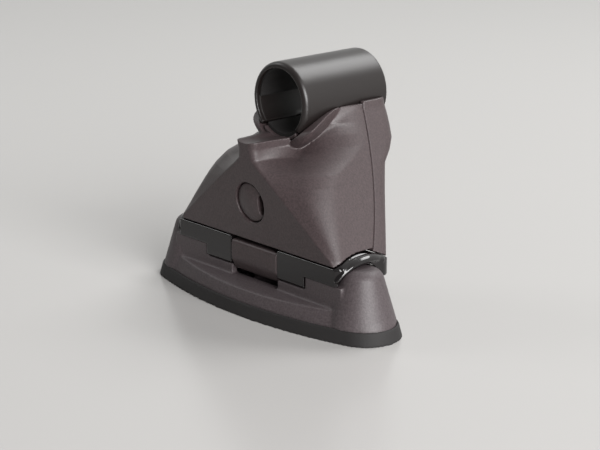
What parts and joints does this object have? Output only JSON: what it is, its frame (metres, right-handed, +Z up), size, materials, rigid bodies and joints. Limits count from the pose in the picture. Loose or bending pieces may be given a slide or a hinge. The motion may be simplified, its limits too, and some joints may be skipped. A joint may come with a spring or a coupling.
{
  "type": "roof bar foot",
  "caption": "Roof bar foot: rubber-soled pad, tower latched onto it, pull-off front cover with a blank lock plug, and a strap that a wedge and bolt draw down on a round bar.",
  "frame": {"origin": "middle of the gasket's sole, on the roof", "axes": "+X along the vehicle, +Y inboard along the bar, +Z up"},
  "size_m": [0.149, 0.0764, 0.1096],
  "materials": {
    "matte_plastic": "fine grain",
    "gloss_plastic": "gloss",
    "coated_steel": "half gloss coat",
    "rubber": "matte",
    "zinc_steel": "zinc plated",
    "cast_alloy": "as cast"
  },
  "bodies": {
    "foot": {"roof_gasket": "rubber", "pad_base": "matte_plastic", "keeper_plate": "zinc_steel", "keeper_screws": "zinc_steel", "skirt": "gloss_plastic", "tower_frame": "zinc_steel", "tower_body": "matte_plastic", "foot_screws": "zinc_steel", "saddle_pad": "rubber", "lever_pin": "zinc_steel", "clamp_washer": "zinc_steel"},
    "bolt": {"clamp_bolt": "zinc_steel", "bolt_clip": "zinc_steel"},
    "wedge": {"wedge_block": "cast_alloy"},
    "strap": {"bar_strap": "coated_steel", "strap_liner": "rubber", "cross_pin": "zinc_steel"},
    "lever": {"latch_lever": "matte_plastic"},
    "cover": {"front_cover": "matte_plastic", "lock_sleeve": "cast_alloy"},
    "plug": {"lock_plug": "matte_plastic"}
  },
  "joints": [
    {"name": "wedge_slide", "type": "slide", "parent": "foot", "child": "wedge", "axis": [0, 1, 0], "range_m": [0, 0.006]},
    {"name": "bolt_turn", "type": "hinge", "parent": "foot", "child": "bolt", "pos_m": [0, 0.003, 0.0625], "axis": [0, -1, 0], "range_deg": [0, 2160]},
    {"name": "strap_lift", "type": "slide", "parent": "foot", "child": "strap", "axis": [0, 0, 1], "range_m": [0, 0.001]},
    {"name": "lever_flip", "type": "hinge", "parent": "foot", "child": "lever", "pos_m": [0, -0.008, 0.0255], "axis": [-1, 0, 0], "range_deg": [0, 80]},
    {"name": "cover_pull", "type": "slide", "parent": "foot", "child": "cover", "axis": [0, -1, 0], "range_m": [0, 0.06]},
    {"name": "plug_pull", "type": "slide", "parent": "cover", "child": "plug", "axis": [0, -0.9925, -0.1219], "range_m": [0, 0.02]}
  ],
  "couplings": [
    {"joint": "bolt_turn", "follows": "wedge_slide", "rad_per_m": 6283.1},
    {"joint": "strap_lift", "follows": "wedge_slide", "ratio": 0.16667}
  ]
}
